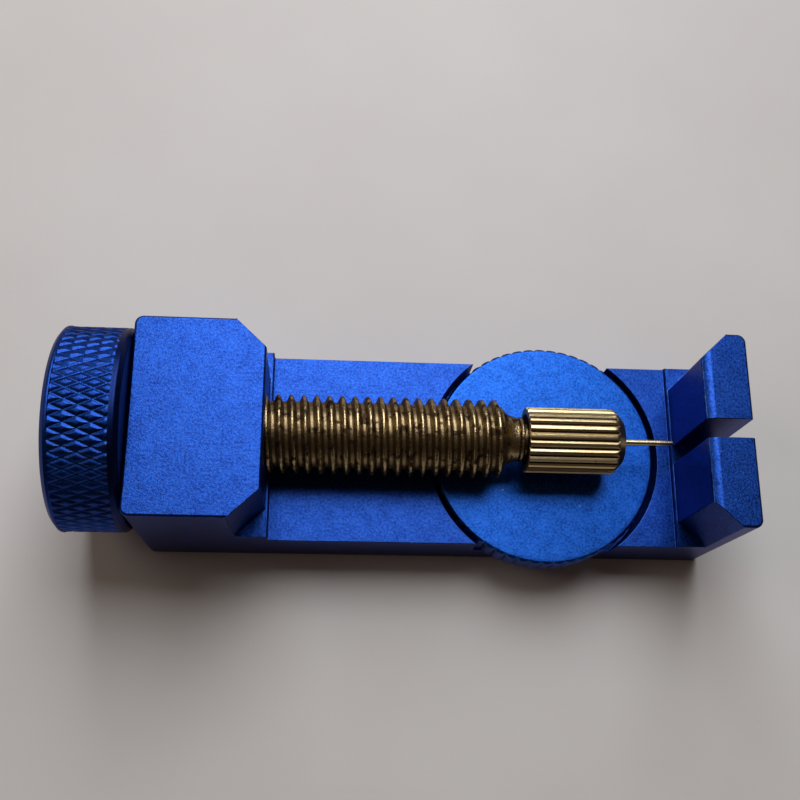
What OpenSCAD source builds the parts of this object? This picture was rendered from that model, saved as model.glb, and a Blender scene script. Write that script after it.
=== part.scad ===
// Bench tool that pushes the pins out of bracelet links: a one-piece frame with a
// hand screw at one end, a slotted fork at the other and a height disc in between.
// Origin: centre of the frame's underside. X runs along the tool, the knob at -X and
// the fork at +X; +Z is up.

/* [Which piece] */

// one piece, or all of them

/* [Frame] */

// length of the frame
body_len = 71.2; // [56:0.1:86]
// width of the frame
body_w = 23.2; // [18:0.1:28]
// height of the block and of the fork
body_h = 22.5; // [20.5:0.1:30]
// height of the low beam between them
beam_h = 9.3; // [7.5:0.1:9.6]
// how far the step at the block's foot stands above the beam
step_h = 2; // [0.5:0.1:2.5]
// how far that step stands out from the wall above it
step_out = 0.35; // [0.1:0.05:0.8]
// how far the step at the fork's foot stands above the beam
fork_step_h = 0.5; // [0.2:0.1:2]
// how far that step stands out from the wall above it
fork_step_out = 0.3; // [0.1:0.05:0.6]
// length of the threaded block
block_len = 15; // [12:0.1:18]
// chamfer of the block's inner corners, along the tool
block_cut_x = 3.6; // [1:0.1:5]
// chamfer of the block's inner corners, across the tool
block_cut_y = 3.4; // [1:0.1:5]
// thickness of the fork
fork_t = 5.5; // [4:0.1:7]
// chamfer of the fork's inner corners, along the tool
fork_cut_x = 3.2; // [1:0.1:4]
// chamfer of the fork's inner corners, across the tool
fork_cut_y = 3; // [1:0.1:5]
// width of the slot that splits the fork
slot_w = 2.2; // [1:0.1:4]
// radius of the frame's outer upright corners
corner_r = 1; // [0.3:0.1:2]
// bevel along the frame's top and bottom edges
edge_cut = 0.2; // [0.1:0.05:0.8]
// bevel along the fork's inner top edge
fork_edge_cut = 0.5; // [0.1:0.05:0.8]

/* [Spindle] */

// height of the spindle's axis above the bench
axis_h = 15.3; // [15:0.1:18]
// outside diameter of the thread
screw_d = 9.3; // [7.5:0.1:9.8]
// distance from one thread crest to the next
pitch = 1.5; // [1:0.05:2]
// depth of the thread
thread_depth = 0.8; // [0.4:0.05:1]
// where the last crest ends, measured from the frame's middle
thread_end_x = 6.5; // [2:0.1:8]
// diameter of the neck between the thread and the chuck
neck_d = 5.2; // [4.2:0.1:5.4]
// diameter of the threaded nose that the chuck screws on to
nose_d = 4; // [3:0.1:4.2]
// length of that nose inside the chuck
nose_len = 6.4; // [4:0.1:7]
// diameter of the stub inside the knob
stub_d = 6; // [5:0.1:7]
// length of the stub inside the knob
stub_len = 6.8; // [5:0.1:7.2]
// gap round the thread in its tapped hole
thread_gap = 0.05; // [0.02:0.01:0.1]

/* [Knob] */

// outside diameter of the knob
knob_d = 23.9; // [19:0.1:29]
// thickness of the knob
knob_t = 8.3; // [7.6:0.1:10]
// gap between the knob and the block when the spindle is screwed right in
knob_gap = 0.1; // [0.05:0.05:1]
// number of knurl ridges round the knob
knob_ridges = 58; // [40:1:70]
// depth of the knob's knurl
knob_knurl = 0.35; // [0.1:0.05:0.5]
// smooth rim at each end of the knob's knurl
knob_rim = 0.9; // [0.5:0.1:2]
// chamfer of the knob's two edges
knob_cut = 0.6; // [0.2:0.1:1]
// diameter of the set screw in the knob
set_d = 3; // [2:0.1:4]
// length of the set screw
set_len = 5; // [3:0.1:7]

/* [Chuck and pin] */

// where the chuck's rear face stands, measured from the frame's middle
chuck_x = 10.15; // [10:0.05:12]
// length of the chuck
chuck_len = 11.6; // [11:0.05:13]
// outside diameter of the chuck
chuck_d = 7.9; // [6.4:0.1:9.2]
// number of ridges round the chuck
chuck_ridges = 24; // [12:1:36]
// width of the grooves between the chuck's ridges
chuck_groove = 0.36; // [0.2:0.02:0.6]
// chamfer of the chuck's front edge
chuck_cut = 1.1; // [0.5:0.05:1.8]
// diameter of the drive pin
pin_d = 0.7; // [0.5:0.05:0.9]
// how far the pin stands out of the chuck
pin_out = 6.45; // [3:0.05:6.5]
// diameter of the pin's head inside the chuck
pin_head_d = 3; // [2:0.1:3.4]
// thickness of the pin's head
pin_head_t = 1.2; // [0.8:0.1:1.4]
// play of the pin in the chuck
pin_gap = 0.05; // [0.03:0.01:0.1]

/* [Height disc] */

// diameter of the disc
disc_d = 27.9; // [24:0.1:33]
// thickness of the disc
disc_t = 4.2; // [3.8:0.1:5]
// where the disc's axis stands, measured from the frame's middle
disc_x = 13.7; // [12:0.1:15]
// gap between the disc's edge and the wall of its pocket
disc_gap = 0.5; // [0.2:0.02:1]
// gap under the disc when it is screwed right down
disc_floor_gap = 0.05; // [0.03:0.01:0.2]
// number of knurl ridges round the disc
disc_ridges = 58; // [40:1:70]
// depth of the disc's knurl
disc_knurl = 0.32; // [0.1:0.02:0.38]
// chamfer of the disc's two edges
disc_cut = 0.4; // [0.4:0.05:0.8]
// diameter of the disc's stud
stud_d = 6; // [5:0.1:7]
// how deep the stud is pressed into the disc
stud_in = 2.8; // [2:0.1:3.2]
// height of the stud's lower end above the bench
stud_low = 0.5; // [0.3:0.1:0.8]
// outside diameter of the stop ring on the stud's lower end
ring_d = 8.6; // [7.8:0.1:9.6]
// thickness of the stop ring
ring_t = 0.6; // [0.4:0.1:0.8]
// play of the stop ring in its groove
ring_gap = 0.04; // [0.03:0.01:0.1]
// how far the disc can rise before the ring stops it
disc_rise = 1.1; // [1:0.1:1.3]

/* [Hidden] */

$fn = 96;
e = 1;                                     // overrun of cutting shapes
x0 = -body_len / 2;                        // outer end of the block
x1 = body_len / 2;                         // outer end of the fork
step_z = beam_h + step_h;                 // top of the block's step
fork_step_z = beam_h + fork_step_h;       // top of the fork's step
block_x = x0 + block_len;                  // block's inner wall
fork_x = x1 - fork_t;                      // fork's inner wall
knob_x1 = x0 - knob_gap;                   // knob's inner face
knob_x0 = knob_x1 - knob_t;                // knob's outer face
chuck_x1 = chuck_x + chuck_len;
screw_r = screw_d / 2;
root_r = screw_r - thread_depth;
thread_x0 = knob_x1;
turns = floor((thread_end_x - thread_x0) / pitch);
nose_x1 = chuck_x + nose_len;              // front end of the spindle
head_x0 = nose_x1 + pin_gap;
head_x1 = head_x0 + pin_head_t;
seat_x = head_x1 + pin_gap;                // chuck's inner shoulder
pocket_r = disc_d / 2 + disc_gap;
disc_z0 = beam_h - disc_t;
pocket_z = disc_z0 - disc_floor_gap;
groove_r = stud_d / 2 - 0.8;               // floor of the stud's ring groove
ring_z0 = stud_low + 0.5;
ring_z1 = ring_z0 + ring_t;
relief_z = ring_z1 + disc_rise;            // shoulder that stops the ring
relief_r = ring_d / 2 + 0.4;

blue = [0.10, 0.30, 0.72];
steel = [0.50, 0.47, 0.43];
brass = [0.80, 0.68, 0.42];

// a cylinder along +X from xa to xb on the spindle's axis
module along_x(xa, xb, r, r2 = -1) {
  translate([xa, 0, axis_h]) rotate([0, 90, 0])
    cylinder(h = xb - xa, r1 = r, r2 = r2 < 0 ? r : r2);
}

// a turned shape on the spindle's axis from a list of [x, radius]
module turned(pts) {
  translate([0, 0, axis_h]) rotate([0, 90, 0])
    rotate_extrude() polygon([for (p = pts) [p[1], p[0]]]);
}

// V grooves along a round piece: n of them, at radius r, wide w and deep d
module flutes(n, r, w, d, len) {
  for (i = [0:n - 1]) rotate([0, 0, i * 360 / n])
    translate([0, 0, -e / 2]) linear_extrude(len + e)
      polygon([[r - d, 0], [r + 0.2, -w / 2 * (d + 0.2) / d], [r + 0.2, w / 2 * (d + 0.2) / d]]);
}

// outline of a wall seen from above, with chamfered inner and rounded outer corners
module wall_outline(xo, xi, cx, cy) {
  s = sign(xi - xo);
  hw = body_w / 2;
  difference() {
    union() {
      translate([min(xo + s * corner_r, xi), -hw]) square([abs(xi - xo) - corner_r, body_w]);
      translate([min(xo, xo + s * 2 * corner_r), -hw + corner_r]) square([2 * corner_r, body_w - 2 * corner_r]);
      for (k = [-1, 1]) translate([xo + s * corner_r, k * (hw - corner_r)]) circle(corner_r);
    }
    for (k = [-1, 1])
      polygon([[xi + s * e, k * (hw - cy - e * cy / cx)], [xi + s * e, k * (hw + e)],
               [xi - s * cx - s * e * cx / cy, k * (hw + e)]]);
  }
}

// bevels along both long sides at height z, and across one end
module edge_bevels(xa, xb, z) {
  for (k = [-1, 1]) translate([(xa + xb) / 2, k * body_w / 2, z]) rotate([45, 0, 0])
    cube([xb - xa, edge_cut * sqrt(2), edge_cut * sqrt(2)], center = true);
}

module end_bevel(x, z, cut) {
  translate([x, 0, z]) rotate([0, 45, 0])
    cube([cut * sqrt(2), body_w + e, cut * sqrt(2)], center = true);
}

// the same bevel round the outer upright corners, at the foot (side = 1) or the top (side = -1)
module corner_bevels(z, side) {
  for (i = [-1, 1], k = [-1, 1])
    translate([i * (body_len / 2 - corner_r), k * (body_w / 2 - corner_r), z]) intersection() {
      rotate_extrude() polygon([[corner_r - 2 * edge_cut, -side * edge_cut],
        [corner_r + e, -side * edge_cut], [corner_r + e, side * (edge_cut + e)]]);
      translate([i > 0 ? 0 : -3 * e, k > 0 ? 0 : -3 * e, -3 * e]) cube([3 * e, 3 * e, 6 * e]);
    }
}

module frame() color(blue) difference() {
  union() {
    linear_extrude(step_z) wall_outline(x0, block_x + step_out, 0.01, 0.01);
    translate([0, 0, step_z - e / 4]) linear_extrude(body_h - step_z + e / 4)
      wall_outline(x0, block_x, block_cut_x, block_cut_y);
    translate([x0 + 2, -body_w / 2, 0]) cube([body_len - 4, body_w, beam_h]);
    linear_extrude(fork_step_z) wall_outline(x1, fork_x - fork_step_out, 0.01, 0.01);
    translate([0, 0, fork_step_z - e / 4]) linear_extrude(body_h - fork_step_z + e / 4)
      wall_outline(x1, fork_x, fork_cut_x, fork_cut_y);
  }
  // tapped hole of the spindle
  along_x(x0 - e, block_x + step_out + e, screw_r + thread_gap);
  // slot of the fork
  translate([fork_x - e, -slot_w / 2, fork_step_z]) cube([fork_t + 2 * e, slot_w, body_h]);
  // pocket of the disc, its tapped hole and the stop ring's relief
  translate([disc_x, 0, pocket_z]) cylinder(h = body_h, r = pocket_r);
  translate([disc_x, 0, -e]) cylinder(h = body_h, r = stud_d / 2 + thread_gap);
  translate([disc_x, 0, -e]) cylinder(h = relief_z + e, r = relief_r);
  // bevels
  edge_bevels(x0 - e, block_x - block_cut_x, body_h);
  edge_bevels(fork_x + fork_cut_x, x1 + e, body_h);
  edge_bevels(x0 - e, x1 + e, 0);
  for (x = [x0, x1], z = [0, body_h]) end_bevel(x, z, edge_cut);
  corner_bevels(0, 1);
  corner_bevels(body_h, -1);
  end_bevel(block_x, body_h, edge_cut);
  end_bevel(fork_x, body_h, fork_edge_cut);
}

module spindle() color(steel) difference() {
  turned(concat(
    [[knob_x1 - stub_len, 0], [knob_x1 - stub_len, stub_d / 2 - 0.4], [knob_x1 - stub_len + 0.4, stub_d / 2],
     [thread_x0, stub_d / 2]],
    [for (i = [0:turns - 1], q = [[0, root_r], [0.36, root_r], [0.6, screw_r], [0.76, screw_r]])
      [thread_end_x - (turns - i) * pitch + q[0] * pitch, q[1]]],
    [[thread_end_x, root_r], [thread_end_x + 0.9, root_r - 0.55], [thread_end_x + 2, neck_d / 2 + 0.25],
     [thread_end_x + 2.4, neck_d / 2], [chuck_x - 1.1, neck_d / 2], [chuck_x - 1, neck_d / 2 - 0.2],
     [chuck_x - 0.9, neck_d / 2 + 0.1], [chuck_x - 0.4, neck_d / 2 + 0.1], [chuck_x - 0.3, nose_d / 2],
     [nose_x1 - 0.4, nose_d / 2], [nose_x1, nose_d / 2 - 0.4], [nose_x1, 0]]));
  // flat under the set screw
  translate([knob_x1 - stub_len - e, -stub_d, axis_h - stub_d / 2 - stub_d + 0.35])
    cube([stub_len + e - 0.6, 2 * stub_d, stub_d]);
}

module knob() color(blue) difference() {
  translate([knob_x0, 0, axis_h]) rotate([0, 90, 0]) difference() {
    rotate_extrude() polygon([[0, 0], [knob_d / 2 - knob_cut, 0], [knob_d / 2, knob_cut],
      [knob_d / 2, knob_t - knob_cut], [knob_d / 2 - knob_cut, knob_t], [0, knob_t]]);
    // knurl: ridges along the knob, broken by two turned grooves
    translate([0, 0, knob_rim]) difference() {
      flutes(knob_ridges, knob_d / 2, 0.9, knob_knurl, knob_t - 2 * knob_rim - e);
      translate([0, 0, -e]) cylinder(h = e, r = knob_d);
    }
    for (i = [1:2]) translate([0, 0, knob_rim + i * (knob_t - 2 * knob_rim) / 3]) rotate_extrude()
      polygon([[knob_d / 2 - knob_knurl, 0], [knob_d / 2 + 0.2, -0.55], [knob_d / 2 + 0.2, 0.55]]);
  }
  // hole for the spindle's stub, and the set screw's hole
  along_x(knob_x1 - stub_len, knob_x1 + e, stub_d / 2);
  translate([knob_x1 - stub_len / 2, 0, axis_h - knob_d]) cylinder(h = knob_d, r = set_d / 2);
}

module knob_set_screw() color(steel) {
  top = axis_h - stub_d / 2 + 0.35;
  translate([knob_x1 - stub_len / 2, 0, top - set_len]) difference() {
    union() {
      cylinder(h = set_len - 0.5, r = set_d / 2);
      translate([0, 0, set_len - 0.5]) cylinder(h = 0.5, r1 = set_d / 2, r2 = set_d / 2 - 0.5);
    }
    translate([0, 0, -e]) cylinder(h = e + 1.4, r = set_d / 4, $fn = 6);
  }
}

module pin_chuck() color(brass) translate([chuck_x, 0, axis_h]) rotate([0, 90, 0]) difference() {
  rotate_extrude() polygon([[0, 0], [chuck_d / 2 - 0.2, 0], [chuck_d / 2, 0.2],
    [chuck_d / 2, chuck_len - chuck_cut], [chuck_d / 2 - chuck_cut, chuck_len], [0, chuck_len]]);
  for (i = [0:chuck_ridges - 1]) rotate([0, 0, i * 360 / chuck_ridges])
    translate([chuck_d / 2 - 0.3, -chuck_groove / 2, -e]) cube([1, chuck_groove, chuck_len - chuck_cut + e - 0.1]);
  translate([0, 0, -e]) cylinder(h = seat_x - chuck_x + e, r = nose_d / 2);
  translate([0, 0, -e]) cylinder(h = chuck_len + 2 * e, r = pin_d / 2 + pin_gap);
}

module drive_pin() color(steel)
  turned([[head_x0, 0], [head_x0, pin_head_d / 2], [head_x1, pin_head_d / 2], [head_x1, pin_d / 2],
    [chuck_x1 + pin_out - 0.08, pin_d / 2], [chuck_x1 + pin_out, pin_d / 2 - 0.08], [chuck_x1 + pin_out, 0]]);

module height_disc() color(blue) translate([disc_x, 0, disc_z0]) difference() {
  rotate_extrude() polygon([[0, 0], [disc_d / 2 - disc_cut, 0], [disc_d / 2, disc_cut],
    [disc_d / 2, disc_t - disc_cut], [disc_d / 2 - disc_cut, disc_t], [0, disc_t]]);
  flutes(disc_ridges, disc_d / 2, 0.8, disc_knurl, disc_t);
  translate([0, 0, -e]) cylinder(h = stud_in + e, r = stud_d / 2);
}

module disc_stud() color(steel) translate([disc_x, 0, 0]) rotate_extrude()
  polygon([[0, stud_low], [stud_d / 2 - 0.3, stud_low], [stud_d / 2 - 0.1, stud_low + 0.2],
    [stud_d / 2 - 0.1, ring_z0 - ring_gap], [groove_r, ring_z0 - ring_gap], [groove_r, ring_z1 + ring_gap],
    [stud_d / 2, ring_z1 + ring_gap], [stud_d / 2, disc_z0 + stud_in], [0, disc_z0 + stud_in]]);

module disc_stop_ring() color(steel) translate([disc_x, 0, ring_z0]) difference() {
  cylinder(h = ring_t, r = ring_d / 2);
  translate([0, 0, -e]) cylinder(h = ring_t + 2 * e, r = groove_r + ring_gap);
  translate([groove_r / 2, -groove_r * 0.6, -e]) cube([ring_d, groove_r * 1.2, ring_t + 2 * e]);
}

frame();
spindle();
knob();
knob_set_screw();
pin_chuck();
drive_pin();
height_disc();
disc_stud();
disc_stop_ring();
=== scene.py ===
# %% [markdown]
# # A bench tool for bracelet link pins
# A small blue frame stands on the bench. A hand screw runs through the block at its left end and
# pushes a thin pin towards the slotted fork at its right end. A round disc let into the beam carries
# the bracelet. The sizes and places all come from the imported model, which is loaded first. This file
# gives the pieces their finished surfaces: the helical thread, the knurls, the softened edges and
# the anodised and plated finishes.

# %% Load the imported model
import math

import bmesh
import bpy
import numpy as np
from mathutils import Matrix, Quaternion, Vector


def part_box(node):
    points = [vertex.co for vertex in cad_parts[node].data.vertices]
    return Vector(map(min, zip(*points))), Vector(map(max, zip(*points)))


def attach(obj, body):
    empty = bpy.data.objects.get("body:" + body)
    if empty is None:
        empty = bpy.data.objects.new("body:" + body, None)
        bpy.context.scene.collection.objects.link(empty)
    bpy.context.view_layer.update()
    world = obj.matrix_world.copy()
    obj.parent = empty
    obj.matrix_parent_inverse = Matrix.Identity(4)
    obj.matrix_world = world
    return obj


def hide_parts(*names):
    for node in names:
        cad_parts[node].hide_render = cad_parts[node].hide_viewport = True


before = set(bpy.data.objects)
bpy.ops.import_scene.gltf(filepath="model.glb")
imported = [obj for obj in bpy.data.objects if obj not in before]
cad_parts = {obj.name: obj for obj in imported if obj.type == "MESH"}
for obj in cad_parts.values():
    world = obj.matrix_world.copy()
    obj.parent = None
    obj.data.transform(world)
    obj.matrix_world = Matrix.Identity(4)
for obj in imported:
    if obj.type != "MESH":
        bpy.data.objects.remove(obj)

MM = 0.001
TURN = 2 * math.pi
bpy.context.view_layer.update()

# %% [markdown]
# ## Camera
# The tool is seen from above and a little from the front, with the knob to the left. The camera is
# given as a person would set it up on a stand: where it is, which point it looks at, how far it is
# rolled, and its lens. It comes before the pieces, because it doesn't depend on any of them.

# %% Camera
FULL_FRAME = 36.0  # width of the sensor in millimetres


def make_camera(place, aim, roll_degrees, lens):
    """A camera at place that looks at aim, rolled about its own axis. Lengths are in millimetres."""
    data = bpy.data.cameras.new("bench_camera")
    data.lens = lens
    data.sensor_width = FULL_FRAME
    data.clip_start = 0.005
    camera = bpy.data.objects.new("bench_camera", data)
    place, aim = Vector(place) * MM, Vector(aim) * MM
    camera.location = place
    camera.rotation_mode = "QUATERNION"
    roll = Quaternion((0, 0, 1), math.radians(roll_degrees))
    camera.rotation_quaternion = (aim - place).to_track_quat("-Z", "Y") @ roll
    bpy.context.scene.collection.objects.link(camera)
    bpy.context.scene.camera = camera
    return camera


camera = make_camera(place=(-14.46, -34.89, 138.04), aim=(-4.51, 5.96, 11.0),
                     roll_degrees=14.58, lens=48.49)
print("camera height, mm:", round(camera.location.z / MM, 1))

# %% [markdown]
# ## Surfaces from numbers
# Nearly every piece here was made on a lathe, so each is a grid: rows run along the piece's axis
# and columns run round it. A knurl or a thread is a change of radius that depends on both. Working
# the whole grid out as one array is quick and keeps every ridge even, which a boolean cut of
# hundreds of small tools wouldn't. The first and last rows close on the axis.

# %% Mesh from a grid of points
SAME_POINT = 1e-7  # metres; points closer than this are one point


def grid_piece(name, points, ends_closed=True, meets=None):
    """A closed mesh from points[row, column]. Columns wrap round, and meets says which row each
    row joins on the far side of the seam, which on a thread is the row one turn on. Rows either
    close on a point at each end, or wrap round too, which makes a ring. Faces are turned outwards
    by the sign of the enclosed volume: a sixth of the sum of each triangle's corner products."""
    rows, cols = points.shape[:2]
    verts = points.reshape(-1, 3)
    meets = np.arange(rows) if meets is None else meets
    i, j = np.meshgrid(np.arange(rows - 1 if ends_closed else rows), np.arange(cols), indexing="ij")
    up = (i + 1) % rows

    def corner(row, column):
        """The number of the point at a row and column, with the seam's own rule past the last one."""
        return np.where(column < cols, row * cols + column, meets[row] * cols)

    quads = np.stack([corner(i, j), corner(up, j), corner(up, j + 1), corner(i, j + 1)], -1)
    quads = quads.reshape(-1, 4)
    faces = quads.tolist()
    if ends_closed:
        verts = np.vstack([verts, points[0].mean(0), points[-1].mean(0)])
        first, last, ring = rows * cols, rows * cols + 1, np.arange(cols)
        onward = (ring + 1) % cols
        faces += np.stack([np.full(cols, first), ring, onward], -1).tolist()
        base = (rows - 1) * cols
        faces += np.stack([np.full(cols, last), base + onward, base + ring], -1).tolist()
    a, b, c, d = (verts[quads[:, k]] for k in range(4))
    volume = (a * (np.cross(b, c) + np.cross(c, d))).sum() / 6
    if volume < 0:
        faces = [face[::-1] for face in faces]
    mesh = bpy.data.meshes.new(name)
    mesh.from_pydata(verts.tolist(), [], faces)
    welded = bmesh.new()
    welded.from_mesh(mesh)
    bmesh.ops.remove_doubles(welded, verts=welded.verts, dist=SAME_POINT)
    welded.to_mesh(mesh)
    welded.free()
    mesh.polygons.foreach_set("use_smooth", np.ones(len(mesh.polygons), bool))
    piece = bpy.data.objects.new(name, mesh)
    bpy.context.scene.collection.objects.link(piece)
    return piece


# %% A turned piece
def turned(name, profile, columns, centre, sharp, upright=False, relief=None, ring=False):
    """A lathe piece. profile is rows of (distance along the axis, radius) in millimetres; relief,
    if given, is the greatest radius allowed at each row and column, and cuts the knurl or thread
    into the profile. The point at angle t is centre + radius (cos t, sin t) across the axis."""
    along, radius = (np.array(column, float) for column in zip(*profile))
    angle = np.arange(columns) / columns * TURN
    wide = np.repeat(radius[:, None], columns, 1)
    if relief is not None:
        wide = np.minimum(wide, relief(along[:, None], angle[None, :]))
    run = np.repeat(along[:, None], columns, 1)
    return lathe_mesh(name, run, wide, angle, centre, sharp, upright, ring)


def lathe_mesh(name, along, wide, angle, centre, sharp, upright=False, ring=False, meets=None):
    """Turns grids of distance and radius into a piece, along X, or along Z when it stands upright.
    Edges that turn by more than sharp degrees stay crisp."""
    across, aside = wide * np.cos(angle), wide * np.sin(angle)
    points = np.stack([across, aside, along] if upright else [along, across, aside], -1)
    piece = grid_piece(name, (points + np.array(centre)) * MM, not ring, meets)
    piece.data.set_sharp_from_angle(angle=math.radians(sharp))
    return piece


# %% Rows of a profile
def line(start, end, steps):
    """Rows from start up to, but not including, end, at even steps."""
    share = np.arange(steps)[:, None] / steps
    return (np.array(start) * (1 - share) + np.array(end) * share).tolist()


def rounded(corner, before, after, radius, steps=4):
    """Rows round a corner: a curve from radius before the corner to radius after it, whose middle
    is drawn halfway towards the corner."""
    corner, before, after = (np.array(p, float) for p in (corner, before, after))
    start = corner + (before - corner) / np.linalg.norm(before - corner) * radius
    end = corner + (after - corner) / np.linalg.norm(after - corner) * radius
    t = np.linspace(0, 1, steps + 1)[:, None]
    return (start * (1 - t) ** 2 + 2 * corner * t * (1 - t) + end * t ** 2).tolist()


def softened(corners, radii):
    """A profile through corners with each one rounded by its radius. 0 leaves it crisp, as the first
    and the last always are."""
    rows = []
    for k, (corner, radius) in enumerate(zip(corners, radii)):
        if radius:
            rows += rounded(corner, corners[k - 1], corners[k + 1], radius)
        else:
            rows.append(list(corner))
    return rows


def densified(rows, step):
    """The same profile with long rows split, so that no step is longer than step."""
    dense = []
    for start, end in zip(rows[:-1], rows[1:]):
        length = math.dist(start, end)
        dense += line(start, end, max(1, math.ceil(length / step)))
    return dense + [list(rows[-1])]


def node_span(node, axis):
    """Lowest and highest place of a CAD node along an axis, in millimetres."""
    low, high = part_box(node)
    return low[axis] / MM, high[axis] / MM


# %% [markdown]
# ## Shader groups
# The blue parts are bead-blasted before they are anodised, and the steel and brass parts are
# turned. Both finishes need the same few effects at different strengths: a fine grain, larger
# mottling, grime, and bare metal along the edges. Each effect is one node group, built once and set
# by its own inputs, so that every material stays short. The shaders themselves stay in the
# materials.

# %% Node helpers
def add(tree, kind, inputs=None, **settings):
    """Adds a node, sets its properties, and fills its sockets with values or links."""
    made = tree.nodes.new(kind)
    for key, value in settings.items():
        setattr(made, key, value)
    for key, value in (inputs or {}).items():
        if isinstance(value, bpy.types.NodeSocket):
            tree.links.new(value, made.inputs[key])
        else:
            made.inputs[key].default_value = value
    return made


def sums(tree, operation, first, second=0.0, third=0.0, clamp=False):
    """One Math node and its result."""
    made = add(tree, "ShaderNodeMath", {0: first, 1: second, 2: third},
               operation=operation, use_clamp=clamp)
    return made.outputs[0]


def eased(tree, value, low, high):
    """0 below low, 1 above high and a soft rise between."""
    made = add(tree, "ShaderNodeMapRange", {"Value": value, "From Min": low, "From Max": high},
               interpolation_type="SMOOTHSTEP")
    return made.outputs["Result"]


def blended(tree, factor, first, second):
    """Two colours mixed by factor. A Mix node has sockets for every kind of value; its colours are
    inputs 6 and 7 and output 2."""
    return add(tree, "ShaderNodeMix", {0: factor, 6: first, 7: second}, data_type="RGBA").outputs[2]


def new_group(name, inputs, outputs):
    """An empty node group with named inputs (with defaults) and outputs."""
    tree = bpy.data.node_groups.new(name, "ShaderNodeTree")
    for label, default in inputs.items():
        kind = "NodeSocketVector" if default is None else "NodeSocketFloat"
        socket = tree.interface.new_socket(name=label, in_out="INPUT", socket_type=kind)
        if default is not None:
            socket.default_value = default
    for label in outputs:
        tree.interface.new_socket(name=label, in_out="OUTPUT", socket_type="NodeSocketFloat")
    return tree, tree.nodes.new("NodeGroupInput").outputs, tree.nodes.new("NodeGroupOutput")


def noise(tree, vector, scale, detail=2.0, rough=0.5, distortion=0.0):
    """Noise that reads 0 to 1, at scale cells to a metre."""
    made = add(tree, "ShaderNodeTexNoise", {"Vector": vector, "Scale": scale, "Detail": detail,
                                            "Roughness": rough, "Distortion": distortion})
    return made.outputs["Fac"]


# %% Grain: what bead blasting leaves
def make_grain():
    """Three sizes of noise. Height is the pitted skin; Mottle is how the pits gather the dye."""
    tree, given, result = new_group("blast_grain", {"Vector": None, "Size": 0.0003}, ["Height", "Mottle"])
    scale = sums(tree, "DIVIDE", 1.0, given["Size"])
    pits = noise(tree, given["Vector"], scale, 3.0, 0.72)
    fine = noise(tree, given["Vector"], sums(tree, "MULTIPLY", scale, 2.3), 2.0, 0.7)
    wide = noise(tree, given["Vector"], sums(tree, "MULTIPLY", scale, 0.22), 2.0)
    tree.links.new(sums(tree, "MULTIPLY_ADD", fine, 0.55, pits), result.inputs["Height"])
    pits_part = sums(tree, "MULTIPLY_ADD", pits, 1.15, -0.28)
    tree.links.new(sums(tree, "MULTIPLY_ADD", wide, 0.3, pits_part), result.inputs["Mottle"])
    return tree


# %% Edge: where handling has thinned the colour
def make_edge():
    """Compares the surface's normal with the normal of a surface rounded by Radius: on a flat the
    two agree, and near an edge they part. Noise breaks the line up as real wear does."""
    inputs = {"Vector": None, "Radius": 0.0003, "Break": 900.0}
    tree, given, result = new_group("edge_wear", inputs, ["Mask"])
    round_normal = add(tree, "ShaderNodeBevel", {"Radius": given["Radius"]}, samples=6)
    flat = add(tree, "ShaderNodeNewGeometry")
    dot = add(tree, "ShaderNodeVectorMath", {0: round_normal.outputs[0], 1: flat.outputs["Normal"]},
              operation="DOT_PRODUCT")
    turn = eased(tree, sums(tree, "SUBTRACT", 1.0, dot.outputs["Value"]), 0.01, 0.2)
    ragged = eased(tree, noise(tree, given["Vector"], given["Break"], 3.0, 0.65), 0.38, 0.66)
    tree.links.new(sums(tree, "MULTIPLY", turn, ragged, clamp=True), result.inputs["Mask"])
    return tree


# %% Grime and specks
def make_grime():
    """Grime is soft noise above a level. Specks are small dots: the cells of a Voronoi pattern that
    are near their centre and that chance has picked."""
    inputs = {"Vector": None, "Size": 0.002, "Amount": 0.5, "Speck Size": 0.0006, "Speck Share": 0.05}
    tree, given, result = new_group("grime", inputs, ["Grime", "Specks"])
    cloud = noise(tree, given["Vector"], sums(tree, "DIVIDE", 1.0, given["Size"]), 5.0, 0.62, 0.4)
    level = sums(tree, "SUBTRACT", 0.8, sums(tree, "MULTIPLY", given["Amount"], 0.5))
    tree.links.new(eased(tree, cloud, level, sums(tree, "ADD", level, 0.16)), result.inputs["Grime"])
    speck_scale = sums(tree, "DIVIDE", 1.0, given["Speck Size"])
    cells = add(tree, "ShaderNodeTexVoronoi", {"Vector": given["Vector"], "Scale": speck_scale})
    near = sums(tree, "SUBTRACT", 1.0, eased(tree, cells.outputs["Distance"], 0.12, 0.34))
    chance = add(tree, "ShaderNodeSeparateColor", {"Color": cells.outputs["Color"]}).outputs[0]
    picked = sums(tree, "LESS_THAN", chance, given["Speck Share"])
    tree.links.new(sums(tree, "MULTIPLY", near, picked), result.inputs["Specks"])
    return tree


GRAIN, EDGE, GRIME = make_grain(), make_edge(), make_grime()
print("shader groups:", [group.name for group in (GRAIN, EDGE, GRIME)])

# %% Material starter
def new_material(name):
    """A material with an empty tree, its Principled shader wired to the output, and its position."""
    made = bpy.data.materials.new(name)
    made.use_nodes = True
    tree = made.node_tree
    tree.nodes.clear()
    shader = add(tree, "ShaderNodeBsdfPrincipled")
    output = add(tree, "ShaderNodeOutputMaterial")
    tree.links.new(shader.outputs[0], output.inputs[0])
    place = add(tree, "ShaderNodeTexCoord").outputs["Object"]
    return made, tree, shader, place


def use_group(tree, group, **inputs):
    """Places one of the shader groups; underscores in the names stand for spaces."""
    sockets = {key.replace("_", " "): value for key, value in inputs.items()}
    return add(tree, "ShaderNodeGroup", sockets, node_tree=group).outputs


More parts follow.
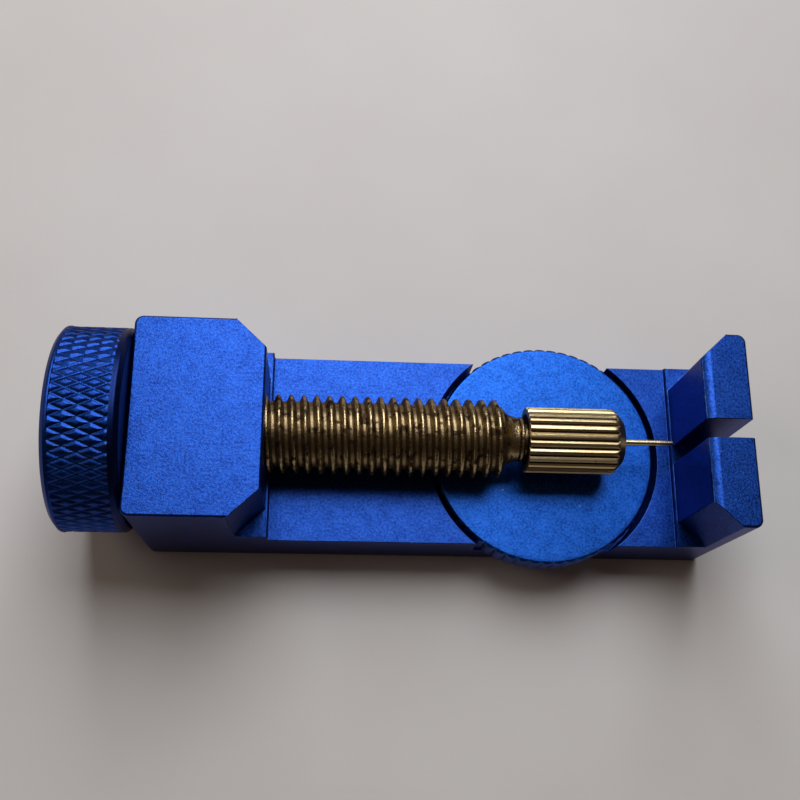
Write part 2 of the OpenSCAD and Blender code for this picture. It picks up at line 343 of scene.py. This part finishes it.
def finish_colour(tree, shader, colour, roughness, height, depth):
    """Wires colour, roughness and a bump whose greatest height is depth metres."""
    tree.links.new(colour, shader.inputs["Base Color"])
    tree.links.new(roughness, shader.inputs["Roughness"])
    bump = add(tree, "ShaderNodeBump", {"Height": height, "Distance": depth, "Strength": 1.0})
    tree.links.new(bump.outputs[0], shader.inputs["Normal"])


# %% [markdown]
# ## Blue anodised aluminium
# The dye sits in a clear oxide skin over bright metal, so the finish is a coloured metal under a
# thin coat, not a paint. Blasting makes it satin, with a grain that glitters where a pit faces the
# light and looks darker where the dye has gathered. Corners and ridges lose a little colour first.

# %% Anodised material
WORN_BLUE = (0.30, 0.42, 0.62, 1)
PALE_DUST = (0.45, 0.50, 0.58, 1)
BLUE_GRIME = (0.02, 0.025, 0.05, 1)
# painted shade: the dark blue laid over the knob's smooth rim and inner face
RIM_SHADE = (0.0015, 0.006, 0.045, 1)
RIM_CRUMBS = (0.022, 0.019, 0.016, 1)


def anodised(name, deep, bright, grain_size, grain_depth, roughness=0.34, grime=0.25, specks=0.0, rim=None):
    """The blue finish: deep and bright are the colours that the mottling runs between. rim, in
    metres along X, is where a smooth band starts that is painted darker, as shade, and has dirt
    beside it."""
    made, tree, shader, place = new_material(name)
    shader.inputs["Metallic"].default_value = 1.0
    shader.inputs["Specular Tint"].default_value = (0.72, 0.66, 0.66, 1)
    shader.inputs["Coat Weight"].default_value = 0.12
    shader.inputs["Coat Roughness"].default_value = 0.32
    grain = use_group(tree, GRAIN, Vector=place, Size=grain_size)
    dirt = use_group(tree, GRIME, Vector=place, Size=0.004, Amount=grime, Speck_Size=0.0006,
                     Speck_Share=specks)
    edge = use_group(tree, EDGE, Vector=place, Radius=0.00022)
    body = blended(tree, eased(tree, grain["Mottle"], 0.17, 0.73), (*deep, 1), (*bright, 1))
    worn = blended(tree, sums(tree, "MULTIPLY", edge["Mask"], 0.35), body, WORN_BLUE)
    dusty = blended(tree, sums(tree, "MULTIPLY", dirt["Specks"], 0.35), worn, PALE_DUST)
    soiled = blended(tree, sums(tree, "MULTIPLY", dirt["Grime"], 0.22), dusty, BLUE_GRIME)
    if rim is not None:
        along = add(tree, "ShaderNodeSeparateXYZ", {"Vector": place}).outputs["X"]
        # past rim the knob's smooth band and inner face are painted darker: painted shade, not dye
        band = eased(tree, along, rim - 0.00005, rim + 0.00008)
        soiled = blended(tree, sums(tree, "MULTIPLY", band, 0.78), soiled, RIM_SHADE)
        beside = sums(tree, "MULTIPLY", eased(tree, along, rim - 0.0014, rim - 0.0002),
                      sums(tree, "SUBTRACT", 1.0, band))
        crumbs = eased(tree, noise(tree, place, 800.0, 4.0, 0.7), 0.56, 0.64)
        soiled = blended(tree, sums(tree, "MULTIPLY", beside, crumbs), soiled, RIM_CRUMBS)
    gloss = sums(tree, "MULTIPLY_ADD", grain["Mottle"], 0.12, roughness - 0.05)
    finish_colour(tree, shader, soiled, gloss, grain["Height"], grain_depth)
    return made


KNOB_RIM = node_span("knob", 0)[1] - 1.1  # where the knurl ends and the smooth rim starts
frame_blue = anodised("blue_blasted_frame", deep=(0.0011, 0.0190, 0.156), bright=(0.0138, 0.079, 0.425),
                      grain_size=0.00030, grain_depth=0.000026)
disc_blue = anodised("blue_blasted_disc", deep=(0.0012, 0.034, 0.215), bright=(0.0120, 0.108, 0.53),
                     grain_size=0.00028, grain_depth=0.000024, specks=0.0012)
# from rim on, the knob's smooth rim and inner face get painted shade
knob_blue = anodised("blue_knurled_knob", deep=(0.0030, 0.026, 0.17), bright=(0.0080, 0.060, 0.36),
                     grain_size=0.00022, grain_depth=0.000012, roughness=0.40, grime=0.5,
                     rim=KNOB_RIM * MM)
print("blue finishes:", frame_blue.name, disc_blue.name, knob_blue.name)

# %% [markdown]
# ## Plated and turned metals
# The screw's plating has gone brown in the roots of the thread, with bright flecks where it still
# shines. The chuck and the pin are a paler gold, and the chuck's grooves and the corner behind it
# are painted near-black as shade. The brown and this painted shade both lie where the surface lies
# low, so they are set by how far a point is from the axis. Fine rings round the axis are what the
# cutting tool left.

# %% Turned metal material
RING_PITCH = 0.00012


def lighter(colour, gain):
    """A colour made brighter by gain, up to white."""
    return (*[min(1, channel * gain) for channel in colour], 1)


def turned_metal(name, bright, dull, roughness, tarnish, axis_height, speck_share=0.12, radii=None,
                 dirt_and_shade_level=0.3, dirt_and_shade_start=None, dirt_and_shade_end=None, fade=0.0012, collar=0.0,
                 pit_depth=0.00002, upright=False):
    """Metal turned about an axis: bright shows where it is rubbed, and dull where it is tarnished and
    where shade is painted. radii, in metres, are the depth where the low-lying dark is full and the
    height where it is gone: tarnish in the screw's thread roots, painted shade in the chuck's
    grooves. dirt_and_shade_level is how much of it is even, and the rest is patchy. It starts at
    dirt_and_shade_start along the axis, or before that within collar of the axis, which paints shade
    in the corner behind the chuck, and fades out over the length fade from dirt_and_shade_end."""
    made, tree, shader, place = new_material(name)
    shader.inputs["Metallic"].default_value = 1.0
    shader.inputs["Specular Tint"].default_value = (0.50, 0.38, 0.36, 1)
    centred = add(tree, "ShaderNodeMapping", {"Vector": place, "Location": (0, 0, -axis_height)})
    parts = add(tree, "ShaderNodeSeparateXYZ", {"Vector": centred.outputs[0]}).outputs
    far = parts["X"] if upright else parts["Z"]
    run = parts["Z"] if upright else parts["X"]
    flat = add(tree, "ShaderNodeCombineXYZ", {"X": far, "Y": parts["Y"], "Z": 0.0}).outputs[0]
    distance = add(tree, "ShaderNodeVectorMath", {0: flat}, operation="LENGTH").outputs["Value"]
    ring_place = add(tree, "ShaderNodeCombineXYZ", {"X": run, "Y": distance, "Z": 0.0})
    rings = noise(tree, ring_place.outputs[0], 1.0 / RING_PITCH, 2.0, 0.5)
    dirt = use_group(tree, GRIME, Vector=place, Size=0.0011, Amount=tarnish, Speck_Size=0.00045,
                     Speck_Share=speck_share)
    edge = use_group(tree, EDGE, Vector=place, Radius=0.00012, Break=2500.0)
    cover = dirt["Grime"]
    # the low-lying dark: real tarnish in the screw's thread roots, painted shade in the chuck's grooves and
    # in the corner behind the chuck
    if radii:
        depth = sums(tree, "SUBTRACT", 1.0, eased(tree, distance, radii[0], radii[1]))
        if dirt_and_shade_end is not None:
            past_end = eased(tree, run, dirt_and_shade_end, dirt_and_shade_end + fade)
            depth = sums(tree, "MULTIPLY", depth, sums(tree, "SUBTRACT", 1.0, past_end))
        if dirt_and_shade_start is not None:
            begun = sums(tree, "MAXIMUM", sums(tree, "GREATER_THAN", run, dirt_and_shade_start),
                         sums(tree, "LESS_THAN", distance, collar))
            depth = sums(tree, "MULTIPLY", depth, begun)
        uneven = sums(tree, "MULTIPLY_ADD", noise(tree, place, 1400.0, 3.0, 0.6), 0.9, dirt_and_shade_level)
        cover = sums(tree, "MAXIMUM", cover, sums(tree, "MULTIPLY", depth, uneven), clamp=True)
    base = blended(tree, cover, (*bright, 1), (*dull, 1))
    flecked = blended(tree, sums(tree, "MULTIPLY", dirt["Specks"], 0.8), base, lighter(bright, 1.15))
    colour = blended(tree, sums(tree, "MULTIPLY", edge["Mask"], 0.5), flecked, lighter(bright, 1.25))
    rough = sums(tree, "MULTIPLY_ADD", cover, 0.28, roughness)
    rough = sums(tree, "MULTIPLY_ADD", dirt["Specks"], -0.12, rough, clamp=True)
    pits = sums(tree, "MULTIPLY", noise(tree, place, 3500.0, 3.0), 0.7)
    height = sums(tree, "MULTIPLY_ADD", rings, 0.5, pits)
    finish_colour(tree, shader, colour, rough, height, pit_depth)
    return made


AXIS_HEIGHT = sum(node_span("drive_pin", 2)) / 2
SCREW_RADIUS = node_span("spindle", 1)[1]
CHUCK_RADIUS = node_span("pin_chuck", 1)[1]
CHUCK_BACK, CHUCK_NOSE = node_span("pin_chuck", 0)
RUN_OUT = 6.9  # where the screw's thread stops
aged_plate = turned_metal("aged_plated_screw", bright=(0.42, 0.33, 0.185), dull=(0.050, 0.030, 0.020),
                          roughness=0.27, tarnish=0.66, axis_height=AXIS_HEIGHT * MM,
                          radii=((SCREW_RADIUS - 0.9) * MM, (SCREW_RADIUS - 0.25) * MM),
                          dirt_and_shade_level=-0.02, dirt_and_shade_end=(RUN_OUT - 0.1) * MM, pit_depth=0.00006)
# the chuck's near-black dull is painted shade: it fills the grooves and, within collar of the axis, the
# corner behind the chuck
pale_gold = turned_metal("pale_gold_chuck", bright=(0.60, 0.485, 0.275), dull=(0.020, 0.008, 0.008),
                         roughness=0.29, tarnish=0.12, axis_height=AXIS_HEIGHT * MM, speck_share=0.04,
                         radii=((CHUCK_RADIUS - 0.25) * MM, (CHUCK_RADIUS - 0.15) * MM),
                         dirt_and_shade_level=0.68, dirt_and_shade_start=(CHUCK_BACK + 0.03) * MM,
                         dirt_and_shade_end=(CHUCK_NOSE - 1.1) * MM, fade=0.0002, collar=0.0031)
bright_pin = turned_metal("pale_gold_pin", bright=(0.80, 0.71, 0.48), dull=(0.50, 0.40, 0.26),
                          roughness=0.22, tarnish=0.05, axis_height=AXIS_HEIGHT * MM, speck_share=0.0)
dark_steel = turned_metal("dark_steel", bright=(0.16, 0.16, 0.17), dull=(0.05, 0.05, 0.05),
                          roughness=0.35, tarnish=0.3, axis_height=AXIS_HEIGHT * MM)
plain_steel = turned_metal("turned_steel", bright=(0.50, 0.49, 0.47), dull=(0.20, 0.18, 0.16),
                           roughness=0.28, tarnish=0.2, axis_height=0.0, upright=True)
print("axis height, mm:", round(AXIS_HEIGHT, 2), "screw radius, mm:", round(SCREW_RADIUS, 2))

# %% [markdown]
# ## The frame
# The frame is milled from one bar, so its shape is flat walls and round holes, and the CAD solid
# already has them right. What it lacks is the softness that blasting gives every edge. A copy of
# the solid is welded, its flat faces are joined up again, and a small bevel goes round each edge,
# with shading that follows the flats. The edge that bracelets rub against, at the top of the fork's
# inner wall, is rounder than the rest, so it gets a wide bevel of its own first.

# %% Frame
BROW_WIDTH = 0.64 * MM
BROW_STEPS = 7
EDGE_WIDTH = 0.10 * MM
EDGE_STEPS = 3
CRISP_DEGREES = 24
FLAT_DEGREES = 1.0
SOLID_WELD = 0.002 * MM


def rounded_brow(shape, width, segments):
    """Rounds the upper edges of the slopes at the top of the fork's inner wall: the edges at the
    frame's full height, past its middle, of faces whose normal is halfway between -X and +Z."""
    slope = Vector((-1, 0, 1)).normalized()
    top = max(vert.co.z for vert in shape.verts)
    faces = [face for face in shape.faces if face.normal.dot(slope) > 0.999]
    edges = {edge for face in faces for edge in face.edges
             if all(abs(vert.co.z - top) < 1e-5 and vert.co.x > 0 for vert in edge.verts)}
    bmesh.ops.bevel(shape, geom=list(edges), offset=width, offset_type="OFFSET", segments=segments,
                    profile=0.5, affect="EDGES", clamp_overlap=True)
    return len(edges)


def make_frame():
    """A copy of the frame's CAD solid with welded points, whole flat faces and bevelled edges."""
    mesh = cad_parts["frame"].data.copy()
    mesh.materials.clear()
    shape = bmesh.new()
    shape.from_mesh(mesh)
    bmesh.ops.remove_doubles(shape, verts=shape.verts, dist=SOLID_WELD)
    bmesh.ops.dissolve_limit(shape, angle_limit=math.radians(FLAT_DEGREES), verts=shape.verts,
                             edges=shape.edges)
    print("fork edges rounded:", rounded_brow(shape, BROW_WIDTH, BROW_STEPS))
    shape.to_mesh(mesh)
    shape.free()
    piece = bpy.data.objects.new("blasted_frame", mesh)
    bpy.context.scene.collection.objects.link(piece)
    mesh.polygons.foreach_set("use_smooth", np.ones(len(mesh.polygons), bool))
    bevel = piece.modifiers.new("edge", "BEVEL")
    bevel.width = EDGE_WIDTH
    bevel.segments = EDGE_STEPS
    bevel.limit_method = "ANGLE"
    bevel.angle_limit = math.radians(CRISP_DEGREES)
    bevel.use_clamp_overlap = False
    weighted = piece.modifiers.new("flat_shading", "WEIGHTED_NORMAL")
    weighted.weight = 100
    return piece


frame_body = make_frame()
frame_body.data.materials.append(frame_blue)
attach(frame_body, "frame")
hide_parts("frame")
print("frame faces:", len(frame_body.data.polygons))

# %% [markdown]
# ## The hand screw
# The thread is one helix. A grid whose rows follow the helix puts a row exactly on the crest and on
# the root all the way along, so the crest never looks stepped. Where the thread ends it runs out
# into a hollow taper, then a thin neck with a small bead, and the nose that the chuck screws on to.

# %% Thread profile
PITCH = 1.5
THREAD_DEPTH = 0.8
THREAD_START = 0.59  # share of a turn by which the helix is turned on
ROOT_EDGE = 0.40  # share of the pitch from the middle of the crest to the edge of the root
FLANK = 0.34  # share of the pitch that each flank takes
ROWS_TO_PITCH = 18
TAPER_LENGTH = 0.75
NECK_RADIUS = 2.6
STUB_RADIUS = 3.0
NOSE_RADIUS = 2.0
SPINDLE_COLUMNS = 96
# the groove and the bead at the end of the neck: distance past it, and rise above its radius
NECK_BEAD = ((0.04, -0.20), (0.09, -0.26), (0.14, -0.18), (0.19, -0.03), (0.26, 0.05), (0.40, 0.10),
             (0.54, 0.05), (0.61, -0.04), (0.65, -0.20))


def thread_radius(share):
    """Radius across one pitch: 0 and 1 are the middle of the root and 0.5 is the crest. The flanks
    rise as a soft step, so the crest is rounded and the root is hollow, as a rolled thread's are."""
    off = np.abs(share - 0.5)
    rise = np.clip((ROOT_EDGE - off) / FLANK, 0, 1)
    return SCREW_RADIUS - THREAD_DEPTH * (1 - rise * rise * (3 - 2 * rise))


def thread_limit(along, start):
    """The greatest radius at a place along the thread: a chamfer where it starts at the knob, and a
    hollow taper from the run-out down to the neck."""
    past = np.clip(along - RUN_OUT, 0, None)
    taper = NECK_RADIUS + (SCREW_RADIUS - 0.35 - NECK_RADIUS) * np.exp(-(past / TAPER_LENGTH) ** 1.15)
    lead_in = STUB_RADIUS + (along - start)
    return np.minimum(np.where(along < RUN_OUT, SCREW_RADIUS, taper), lead_in)


# %% Spindle
def plain_rows(rows):
    """Plain rows repeated round the spindle: one grid of distances and one of radii."""
    table = np.array(rows, float)
    return [np.repeat(table[:, k:k + 1], SPINDLE_COLUMNS, 1) for k in (0, 1)]


def make_spindle():
    """Rows along the helix for the thread, and plain rows for the stub, the bead and the nose. The
    helix's distance is (row + angle / one turn) times the pitch, held between knob and neck. It has
    a few turns to spare at both ends, which lie flat there and are welded away."""
    start = node_span("knob", 0)[1]
    tail, nose_tip = node_span("spindle", 0)
    angle = np.arange(SPINDLE_COLUMNS) / SPINDLE_COLUMNS * TURN
    across_pitch = np.linspace(0, 1, ROWS_TO_PITCH, endpoint=False)
    neck = CHUCK_BACK - 1.0
    turns = np.arange(math.floor(start / PITCH) - 3, math.ceil(neck / PITCH) + 2)
    share = (turns[:, None] + across_pitch[None, :]).reshape(-1)
    helix = (share[:, None] + angle[None, :] / TURN + THREAD_START) * PITCH
    along = np.clip(helix, start, neck)
    radius = np.minimum(thread_radius(share % 1)[:, None], thread_limit(along, start))
    radius = np.where(helix >= neck, NECK_RADIUS, np.where(helix <= start, STUB_RADIUS, radius))
    stub = plain_rows([(tail, 0.01), (tail, STUB_RADIUS - 0.4), (tail + 0.4, STUB_RADIUS),
                       (start - 0.01, STUB_RADIUS)])
    rows = [(neck + past, NECK_RADIUS + rise) for past, rise in NECK_BEAD]
    rows += [(neck + 0.67, NOSE_RADIUS), (nose_tip - 0.4, NOSE_RADIUS), (nose_tip, NOSE_RADIUS - 0.4),
             (nose_tip, 0.01)]
    nose = plain_rows(rows)
    first, last = len(stub[0]), len(stub[0]) + len(share) - 1
    meets = np.arange(last + 1 + len(rows))
    meets[first:last + 1] = np.minimum(meets[first:last + 1] + ROWS_TO_PITCH, last)
    run, wide = np.vstack([stub[0], along, nose[0]]), np.vstack([stub[1], radius, nose[1]])
    return lathe_mesh("threaded_spindle", run, wide, angle, (0, 0, AXIS_HEIGHT), 60, meets=meets)


spindle = make_spindle()
spindle.data.materials.append(aged_plate)
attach(spindle, "spindle")
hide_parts("spindle")
print("spindle faces:", len(spindle.data.polygons))

# %% [markdown]
# ## The knob
# A diamond knurl is pressed in by two wheels with slanting teeth, which leave two families of fine
# V grooves, one climbing each way. Where both miss, a diamond stands up. The grooves stop short of
# both ends, at a smooth chamfered rim. A bump texture could draw them, but the diamonds show in the
# knob's outline, so they are cut into the grid: at each point the deeper groove sets the radius.

# %% Knob
KNOB_CELLS = 58
KNOB_CELL_LENGTH = 3.0
KNURL_DEPTH = 0.24
KNURL_ROWS = 62


def notch(phase):
    """1 at each whole number and 0 halfway between: a sharp floor and rounded banks."""
    off = np.abs(phase - np.round(phase))
    return (1 - 2 * off) ** 1.6


def make_knob():
    """The knob's outer face, chamfers, knurled band and inner face, then its hole for the stub."""
    outer, inner = node_span("knob", 0)
    radius = node_span("knob", 1)[1]
    stub_end = node_span("spindle", 0)[0]
    first, last = outer + 0.98, KNOB_RIM
    corners = [(outer, 0.01), (outer, radius - 0.75), (outer + 0.62, radius), (outer + 0.85, radius),
               (first, radius - 0.08), (last, radius - 0.08), (inner - 0.98, radius - 0.10),
               (inner - 0.5, radius - 0.10), (inner, radius - 0.55), (inner, STUB_RADIUS),
               (stub_end, STUB_RADIUS), (stub_end, 0.01)]
    radii = [0, 0.25, 0.12, 0.05, 0, 0, 0.05, 0.15, 0.15, 0, 0, 0]
    hole_x = sum(node_span("knob_set_screw", 0)) / 2
    hole_radius = node_span("knob_set_screw", 1)[1]
    hole_floor = AXIS_HEIGHT - node_span("knob_set_screw", 2)[0] - 0.3
    rows = []
    for row in softened(corners, radii):
        rows += line(row, (last, row[1]), KNURL_ROWS) if abs(row[0] - first) < 1e-6 else [row]

    def relief(along, angle):
        """The knurl's floor follows two crossed families of grooves inside the knurled band. On
        the underside, the set screw's hole goes down to just below the screw's outer end."""
        turn = KNOB_CELLS * angle / TURN
        climb = (along - first) / KNOB_CELL_LENGTH
        groove = np.maximum(notch(turn + climb), notch(turn - climb))
        inside = (along > first - 1e-6) & (along < last + 1e-6)
        knurled = np.where(inside, radius - 0.03 - KNURL_DEPTH * groove, radius)
        from_hole = np.hypot(along - hole_x, radius * np.cos(angle))
        return np.where((from_hole < hole_radius) & (np.sin(angle) < 0), hole_floor, knurled)

    return turned("knurled_knob", rows, columns=KNOB_CELLS * 14, centre=(0, 0, AXIS_HEIGHT), sharp=40,
                  relief=relief)


knob = make_knob()
knob.data.materials.append(knob_blue)
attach(knob, "spindle")
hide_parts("knob")
print("knob faces:", len(knob.data.polygons))

# %% [markdown]
# ## Chuck and pin
# The chuck is a nut with a straight knurl: 24 ridges with flat crests, and grooves between whose
# banks are straight too, so each ridge shows one bright plane at a time. Its nose is turned down to
# a cone round the pin. The knurl could be cut by a ring of small tools, but as a limit on the radius
# it is one formula, and the ridges run out on the cone by themselves. The pin is a plain wire with a
# head that stays inside.

# %% Chuck
CHUCK_RIDGES = 24
CHUCK_GROOVE = 0.26
BORE_RADIUS = 2.02
PIN_RADIUS = 0.35
PIN_HEAD = 1.2
PIN_HEAD_RADIUS = 1.5
CLEARANCE = 0.05


def make_chuck():
    """A ring-shaped profile: the outside from back to nose, the pin's hole, the shoulder and the
    tapped bore."""
    back, nose, radius = CHUCK_BACK, CHUCK_NOSE, CHUCK_RADIUS
    seat = node_span("drive_pin", 0)[0] + PIN_HEAD + CLEARANCE
    pin_hole = PIN_RADIUS + CLEARANCE
    corners = [(back, BORE_RADIUS), (back, radius - 0.16), (back + 0.05, radius - 0.02),
               (nose - 1.15, radius - 0.02), (nose - 0.12, 2.85), (nose, 2.70), (nose, pin_hole),
               (seat, pin_hole), (seat, BORE_RADIUS)]
    radii = [0, 0.03, 0.05, 0.25, 0.05, 0, 0, 0, 0]
    rows = densified(softened(corners, radii), 0.5)

    def relief(along, angle):
        """Ridges with a barely crowned crest and two straight flanks. off runs from 0 in the
        middle of a ridge to 0.5 in its groove, and the flank is a straight line from 0.16 on."""
        off = np.abs((CHUCK_RIDGES * angle / TURN) % 1 - 0.5)
        crest = radius - 0.02 * np.clip(off / 0.18, 0, 1) ** 2
        flank = CHUCK_GROOVE * np.clip((off - 0.16) / 0.31, 0, 1)
        return crest - flank + 0 * along

    return turned("straight_knurled_chuck", rows, columns=CHUCK_RIDGES * 24, centre=(0, 0, AXIS_HEIGHT),
                  sharp=38, relief=relief, ring=True)


chuck = make_chuck()
chuck.data.materials.append(pale_gold)
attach(chuck, "spindle")
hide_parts("pin_chuck")
print("chuck faces:", len(chuck.data.polygons))

# %% Drive pin
def make_pin():
    """The pin's head, its shank and its barely rounded tip."""
    head, tip = node_span("drive_pin", 0)
    shank = head + PIN_HEAD
    corners = [(head, 0.01), (head, PIN_HEAD_RADIUS), (shank, PIN_HEAD_RADIUS), (shank, PIN_RADIUS),
               (tip, PIN_RADIUS), (tip, 0.01)]
    rows = densified(softened(corners, [0, 0.15, 0.15, 0, 0.07, 0]), 2.0)
    return turned("drive_pin_wire", rows, columns=40, centre=(0, 0, AXIS_HEIGHT), sharp=50)


pin = make_pin()
pin.data.materials.append(bright_pin)
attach(pin, "pin")
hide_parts("drive_pin")
print("pin faces:", len(pin.data.polygons))

# %% [markdown]
# ## The height disc
# The disc's top is a plain blasted face. Its edge is cut into 58 small scallops for the thumb, and a
# narrow chamfer trims them at the top, so that the face ends in a clean circle. The scallops are a
# limit on the radius too, so the chamfer trims them without a cut. The disc stands on a stud that is
# pressed into its underside.

# %% Height disc
DISC_TEETH = 58
SCALLOP_DEPTH = 0.28
STUD_RADIUS = 3.0


def make_disc():
    """The disc's blind hole, underside, knurled edge and top, as one lathe profile."""
    low, high = node_span("height_disc", 2)
    left, right = node_span("height_disc", 0)
    centre_x, radius = (left + right) / 2, node_span("height_disc", 1)[1]
    hole = node_span("disc_stud", 2)[1]
    corners = [(hole, 0.01), (hole, STUD_RADIUS), (low, STUD_RADIUS), (low, radius - 0.42),
               (low + 0.40, radius), (high - 0.32, radius), (high, radius - 0.32), (high, 0.01)]
    radii = [0, 0, 0, 0.1, 0.1, 0.1, 0.08, 0]
    rows = densified(softened(corners, radii), 0.45)

    def relief(along, angle):
        """Scallops: the radius swells between the teeth's gaps as the root of a sine does."""
        swell = np.abs(np.sin(DISC_TEETH * angle / 2)) ** 0.6
        return radius - SCALLOP_DEPTH * (1 - swell) + 0 * along

    return turned("knurled_disc", rows, columns=DISC_TEETH * 12, centre=(centre_x, 0, 0), sharp=32,
                  upright=True, relief=relief)


disc = make_disc()
disc.data.materials.append(disc_blue)
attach(disc, "disc")
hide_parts("height_disc")
print("disc faces:", len(disc.data.polygons))

# %% [markdown]
# ## Small inner pieces
# The stud, the stop ring and the knob's set screw are seen only from below or not at all. Their CAD
# solids are right as they are, so each keeps its shape and gets its metal.

# %% Stud, ring and set screw
INNER_METALS = {"disc_stud": plain_steel, "disc_stop_ring": dark_steel, "knob_set_screw": dark_steel}
for node, metal in INNER_METALS.items():
    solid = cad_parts[node]
    solid.data.materials.clear()
    solid.data.materials.append(metal)
    print(node, "gets", metal.name)

# %% [markdown]
# ## The bench
# The tool stands on a plain pale board. A very slight unevenness in its tone keeps it from looking
# like an empty backdrop.

# %% Floor
DARK_BOARD = (0.66, 0.645, 0.64, 1)
PALE_BOARD = (0.70, 0.69, 0.685, 1)


def make_floor():
    """A large flat sheet a hair under the frame, so that the two faces never share a plane."""
    half, low = 1.5, -0.02 * MM
    corners = [(-half, -half, low), (half, -half, low), (half, half, low), (-half, half, low)]
    mesh = bpy.data.meshes.new("bench_top")
    mesh.from_pydata(corners, [], [(0, 1, 2, 3)])
    floor = bpy.data.objects.new("bench_top", mesh)
    bpy.context.scene.collection.objects.link(floor)
    made, tree, shader, place = new_material("pale_board")
    cloud = noise(tree, place, 22.0, 3.0, 0.6)
    tone = blended(tree, eased(tree, cloud, 0.3, 0.7), DARK_BOARD, PALE_BOARD)
    gloss = sums(tree, "MULTIPLY_ADD", cloud, 0.1, 0.55)
    finish_colour(tree, shader, tone, gloss, noise(tree, place, 1500.0, 2.0), 0.00001)
    mesh.materials.append(made)
    return floor


make_floor()

# %% [markdown]
# ## Light
# A broad soft window stands behind and above the tool. It lights the tops, so the sides towards the
# viewer stay in shade and the shadow falls forwards. A second, much dimmer window at the upper left
# picks out the left banks of the knob's knurl. The rest of the room is nearly dark and warm, which
# is what the metals show where they mirror neither window.

# %% Lights
def area_light(name, place, aim, size, power, colour):
    """A rectangular area light at place that faces aim, with its sides in millimetres."""
    data = bpy.data.lights.new(name, "AREA")
    data.shape = "RECTANGLE"
    data.size, data.size_y = size[0] * MM, size[1] * MM
    data.energy = power
    data.color = colour
    lamp = bpy.data.objects.new(name, data)
    place, aim = Vector(place) * MM, Vector(aim) * MM
    lamp.location = place
    lamp.rotation_mode = "QUATERNION"
    lamp.rotation_quaternion = (aim - place).to_track_quat("-Z", "Y")
    bpy.context.scene.collection.objects.link(lamp)
    return lamp


area_light("window", place=(4, 236, 350), aim=(0, 0, 10), size=(250, 385), power=1.50,
           colour=(0.985, 0.985, 1.0))
area_light("side_window", place=(-300, 60, 350), aim=(-20, 0, 10), size=(180, 260), power=0.20,
           colour=(1.0, 0.84, 0.70))
room = bpy.data.worlds.new("room")
room.use_nodes = True
glow = room.node_tree.nodes["Background"].inputs
glow["Color"].default_value = (1.0, 0.66, 0.45, 1)
glow["Strength"].default_value = 0.045
bpy.context.scene.world = room
bpy.context.scene.view_settings.view_transform = "Standard"
